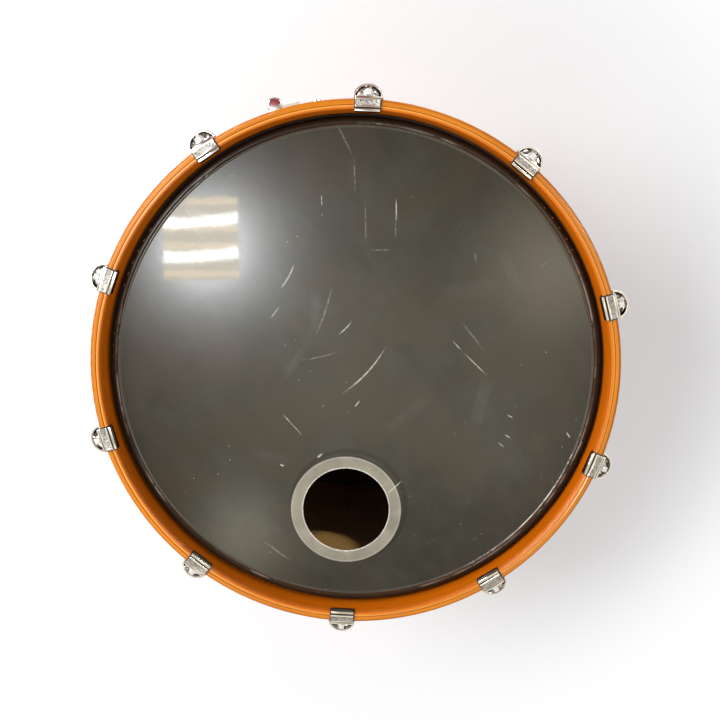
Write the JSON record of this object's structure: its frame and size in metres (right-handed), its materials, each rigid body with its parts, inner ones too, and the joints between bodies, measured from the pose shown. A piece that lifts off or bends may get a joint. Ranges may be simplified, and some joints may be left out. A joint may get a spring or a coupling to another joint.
{
  "type": "bass drum",
  "caption": "Wood-shell bass drum with lacquered ply hoops, chromed claws and lugs, a ported black front head, a tom-post clamp and folding spurs.",
  "frame": {"origin": "on the drum's axis, in the plane of the rear claws' faces on which the drum lies face up", "axes": "+Z along the drum's axis towards the front head; +Y towards the tom bracket, which is up when the drum is played; +X to the right seen from the front"},
  "size_m": [0.6608, 0.626, 0.464],
  "materials": {
    "hoop_lacquer": "amber high-gloss lacquer over maple plies",
    "shell_maple": "maple plies, amber gloss outside and satin inside",
    "front_film": "glossy black polyester film",
    "rear_film": "dark polyester film",
    "ring_film": "frosted grey reinforcement film",
    "patch_fabric": "woven impact patch",
    "cast_chrome": "chrome-plated casting",
    "chromed_steel": "bright chrome on steel",
    "plated_steel": "zinc-plated steel",
    "channel_aluminium": "rolled aluminium channel",
    "black_rubber": "matt black rubber"
  },
  "bodies": {
    "drum": {"claw_pads": "black_rubber", "front_claws": "cast_chrome", "front_flesh_hoop": "channel_aluminium", "front_head": "front_film", "front_hoop": "hoop_lacquer", "front_lugs": "cast_chrome", "impact_patch": "patch_fabric", "left_spur_base": "cast_chrome", "lug_bolts": "plated_steel", "lug_gaskets": "black_rubber", "port_ring": "ring_film", "rear_claws": "cast_chrome", "rear_flesh_hoop": "channel_aluminium", "rear_head": "rear_film", "rear_hoop": "hoop_lacquer", "rear_lugs": "cast_chrome", "right_spur_base": "cast_chrome", "shell": "shell_maple", "spur_gaskets": "black_rubber", "spur_pivots": "chromed_steel", "spur_screws": "chromed_steel", "swivel_nuts": "plated_steel", "tom_base": "cast_chrome", "tom_gasket": "black_rubber", "tom_hinge_pin": "chromed_steel", "tom_screws": "chromed_steel", "vent_grommet": "chromed_steel", "washers": "plated_steel"},
    "front_rod_01": {"front_rod_01": "chromed_steel"},
    "front_rod_02": {"front_rod_02": "chromed_steel"},
    "front_rod_03": {"front_rod_03": "chromed_steel"},
    "front_rod_04": {"front_rod_04": "chromed_steel"},
    "front_rod_05": {"front_rod_05": "chromed_steel"},
    "front_rod_06": {"front_rod_06": "chromed_steel"},
    "front_rod_07": {"front_rod_07": "chromed_steel"},
    "front_rod_08": {"front_rod_08": "chromed_steel"},
    "front_rod_09": {"front_rod_09": "chromed_steel"},
    "front_rod_10": {"front_rod_10": "chromed_steel"},
    "rear_rod_01": {"rear_rod_01": "chromed_steel"},
    "rear_rod_02": {"rear_rod_02": "chromed_steel"},
    "rear_rod_03": {"rear_rod_03": "chromed_steel"},
    "rear_rod_04": {"rear_rod_04": "chromed_steel"},
    "rear_rod_05": {"rear_rod_05": "chromed_steel"},
    "rear_rod_06": {"rear_rod_06": "chromed_steel"},
    "rear_rod_07": {"rear_rod_07": "chromed_steel"},
    "rear_rod_08": {"rear_rod_08": "chromed_steel"},
    "rear_rod_09": {"rear_rod_09": "chromed_steel"},
    "rear_rod_10": {"rear_rod_10": "chromed_steel"},
    "tom_clamp": {"tom_clamp": "cast_chrome"},
    "tom_wing": {"tom_wing_bolt": "chromed_steel"},
    "right_leg": {"right_spur_arm": "cast_chrome", "right_spur_tube": "chromed_steel"},
    "right_leg_wing": {"right_spur_wing": "chromed_steel"},
    "right_leg_rod": {"right_spur_rod": "chromed_steel"},
    "right_leg_foot": {"right_spur_foot": "black_rubber"},
    "left_leg": {"left_spur_arm": "cast_chrome", "left_spur_tube": "chromed_steel"},
    "left_leg_wing": {"left_spur_wing": "chromed_steel"},
    "left_leg_rod": {"left_spur_rod": "chromed_steel"},
    "left_leg_foot": {"left_spur_foot": "black_rubber"}
  },
  "joints": [
    {"name": "front_rod_01_turn", "type": "hinge", "parent": "drum", "child": "front_rod_01", "pos_m": [0.09351, 0.28779, 0.4607], "axis": [0, 0, 1], "continuous": true},
    {"name": "front_rod_02_turn", "type": "hinge", "parent": "drum", "child": "front_rod_02", "pos_m": [0.24481, 0.17786, 0.4607], "axis": [0, 0, 1], "continuous": true},
    {"name": "front_rod_03_turn", "type": "hinge", "parent": "drum", "child": "front_rod_03", "pos_m": [0.3026, 0, 0.4607], "axis": [0, 0, 1], "continuous": true},
    {"name": "front_rod_04_turn", "type": "hinge", "parent": "drum", "child": "front_rod_04", "pos_m": [0.24481, -0.17786, 0.4607], "axis": [0, 0, 1], "continuous": true},
    {"name": "front_rod_05_turn", "type": "hinge", "parent": "drum", "child": "front_rod_05", "pos_m": [0.09351, -0.28779, 0.4607], "axis": [0, 0, 1], "continuous": true},
    {"name": "front_rod_06_turn", "type": "hinge", "parent": "drum", "child": "front_rod_06", "pos_m": [-0.09351, -0.28779, 0.4607], "axis": [0, 0, 1], "continuous": true},
    {"name": "front_rod_07_turn", "type": "hinge", "parent": "drum", "child": "front_rod_07", "pos_m": [-0.24481, -0.17786, 0.4607], "axis": [0, 0, 1], "continuous": true},
    {"name": "front_rod_08_turn", "type": "hinge", "parent": "drum", "child": "front_rod_08", "pos_m": [-0.3026, 0, 0.4607], "axis": [0, 0, 1], "continuous": true},
    {"name": "front_rod_09_turn", "type": "hinge", "parent": "drum", "child": "front_rod_09", "pos_m": [-0.24481, 0.17786, 0.4607], "axis": [0, 0, 1], "continuous": true},
    {"name": "front_rod_10_turn", "type": "hinge", "parent": "drum", "child": "front_rod_10", "pos_m": [-0.09351, 0.28779, 0.4607], "axis": [0, 0, 1], "continuous": true},
    {"name": "rear_rod_01_turn", "type": "hinge", "parent": "drum", "child": "rear_rod_01", "pos_m": [0.09351, 0.28779, 0.0033], "axis": [0, 0, -1], "continuous": true},
    {"name": "rear_rod_02_turn", "type": "hinge", "parent": "drum", "child": "rear_rod_02", "pos_m": [0.24481, 0.17786, 0.0033], "axis": [0, 0, -1], "continuous": true},
    {"name": "rear_rod_03_turn", "type": "hinge", "parent": "drum", "child": "rear_rod_03", "pos_m": [0.3026, 0, 0.0033], "axis": [0, 0, -1], "continuous": true},
    {"name": "rear_rod_04_turn", "type": "hinge", "parent": "drum", "child": "rear_rod_04", "pos_m": [0.24481, -0.17786, 0.0033], "axis": [0, 0, -1], "continuous": true},
    {"name": "rear_rod_05_turn", "type": "hinge", "parent": "drum", "child": "rear_rod_05", "pos_m": [0.09351, -0.28779, 0.0033], "axis": [0, 0, -1], "continuous": true},
    {"name": "rear_rod_06_turn", "type": "hinge", "parent": "drum", "child": "rear_rod_06", "pos_m": [-0.09351, -0.28779, 0.0033], "axis": [0, 0, -1], "continuous": true},
    {"name": "rear_rod_07_turn", "type": "hinge", "parent": "drum", "child": "rear_rod_07", "pos_m": [-0.24481, -0.17786, 0.0033], "axis": [0, 0, -1], "continuous": true},
    {"name": "rear_rod_08_turn", "type": "hinge", "parent": "drum", "child": "rear_rod_08", "pos_m": [-0.3026, 0, 0.0033], "axis": [0, 0, -1], "continuous": true},
    {"name": "rear_rod_09_turn", "type": "hinge", "parent": "drum", "child": "rear_rod_09", "pos_m": [-0.24481, 0.17786, 0.0033], "axis": [0, 0, -1], "continuous": true},
    {"name": "rear_rod_10_turn", "type": "hinge", "parent": "drum", "child": "rear_rod_10", "pos_m": [-0.09351, 0.28779, 0.0033], "axis": [0, 0, -1], "continuous": true},
    {"name": "tom_clamp_hinge", "type": "hinge", "parent": "drum", "child": "tom_clamp", "pos_m": [0.034, 0.3, 0.3207], "axis": [0, 1, 0], "range_deg": [0, 35]},
    {"name": "tom_wing_turn", "type": "hinge", "parent": "tom_clamp", "child": "tom_wing", "pos_m": [-0.024, 0.3055, 0.3467], "axis": [0, 0, 1], "continuous": true},
    {"name": "right_spur_fold", "type": "hinge", "parent": "drum", "child": "right_leg", "pos_m": [0.2914, -0.09468, 0.3307], "axis": [-0.9945, -0.1045, 0], "range_deg": [0, 115]},
    {"name": "right_leg_extend", "type": "slide", "parent": "right_leg", "child": "right_leg_rod", "axis": [0, 0, -1], "range_m": [0, 0.11]},
    {"name": "right_leg_wing_turn", "type": "hinge", "parent": "right_leg", "child": "right_leg_wing", "pos_m": [0.30234, -0.09353, 0.1287], "axis": [0.9945, 0.1045, 0], "continuous": true},
    {"name": "right_foot_turn", "type": "hinge", "parent": "right_leg_rod", "child": "right_leg_foot", "pos_m": [0.30234, -0.09353, 0.0307], "axis": [0, 0, -1], "continuous": true},
    {"name": "left_spur_fold", "type": "hinge", "parent": "drum", "child": "left_leg", "pos_m": [-0.2914, -0.09468, 0.3307], "axis": [-0.9945, 0.1045, 0], "range_deg": [0, 115]},
    {"name": "left_leg_extend", "type": "slide", "parent": "left_leg", "child": "left_leg_rod", "axis": [0, 0, -1], "range_m": [0, 0.11]},
    {"name": "left_leg_wing_turn", "type": "hinge", "parent": "left_leg", "child": "left_leg_wing", "pos_m": [-0.30234, -0.09353, 0.1287], "axis": [-0.9945, 0.1045, 0], "continuous": true},
    {"name": "left_foot_turn", "type": "hinge", "parent": "left_leg_rod", "child": "left_leg_foot", "pos_m": [-0.30234, -0.09353, 0.0307], "axis": [0, 0, -1], "continuous": true}
  ]
}
